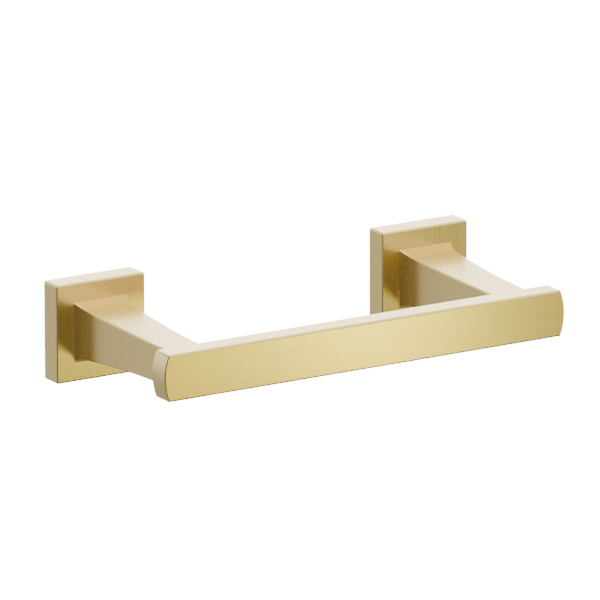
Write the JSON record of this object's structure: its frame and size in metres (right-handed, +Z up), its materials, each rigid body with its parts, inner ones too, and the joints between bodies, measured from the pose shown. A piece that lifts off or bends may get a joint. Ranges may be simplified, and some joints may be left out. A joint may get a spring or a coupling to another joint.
{
  "type": "toilet paper holder",
  "caption": "Wall-mounted toilet paper holder: square plates carry flared posts, and a flat bar with curved ends lifts about one post so that a roll can slide on.",
  "frame": {"origin": "on the wall, at the middle of the wall-screw pattern, midway between the two posts", "axes": "+Z up, +X along the wall to the right as seen from the room, +Y into the wall, so the bar stands out on the -Y side"},
  "size_m": [0.2414, 0.11, 0.0508],
  "materials": {
    "brushed_gold": "satin brushed gold",
    "zinc": "plain zinc casting",
    "steel": "turned stainless steel",
    "nylon": "natural nylon"
  },
  "bodies": {
    "holder": {"wall_bracket_left": "zinc", "wall_bracket_right": "zinc", "wall_plate_left": "brushed_gold", "wall_plate_right": "brushed_gold", "post_left": "brushed_gold", "post_right": "brushed_gold", "post_screws_left": "steel", "post_screws_right": "steel", "grub_screw_left": "steel", "grub_screw_right": "steel", "rest_pin": "steel", "rest_sleeve": "nylon", "hinge_bush": "nylon", "stop_pin": "steel"},
    "bar": {"pivot_bolt": "steel", "wave_washer": "steel", "thrust_washer": "nylon", "bar_tube": "brushed_gold", "end_cap_left": "brushed_gold", "end_cap_right": "brushed_gold", "cap_screw": "steel"}
  },
  "joints": [
    {"name": "bar_pivot", "type": "hinge", "parent": "holder", "child": "bar", "pos_m": [0.09525, -0.0973, 0], "axis": [0, 1, 0], "range_deg": [0, 90]}
  ]
}
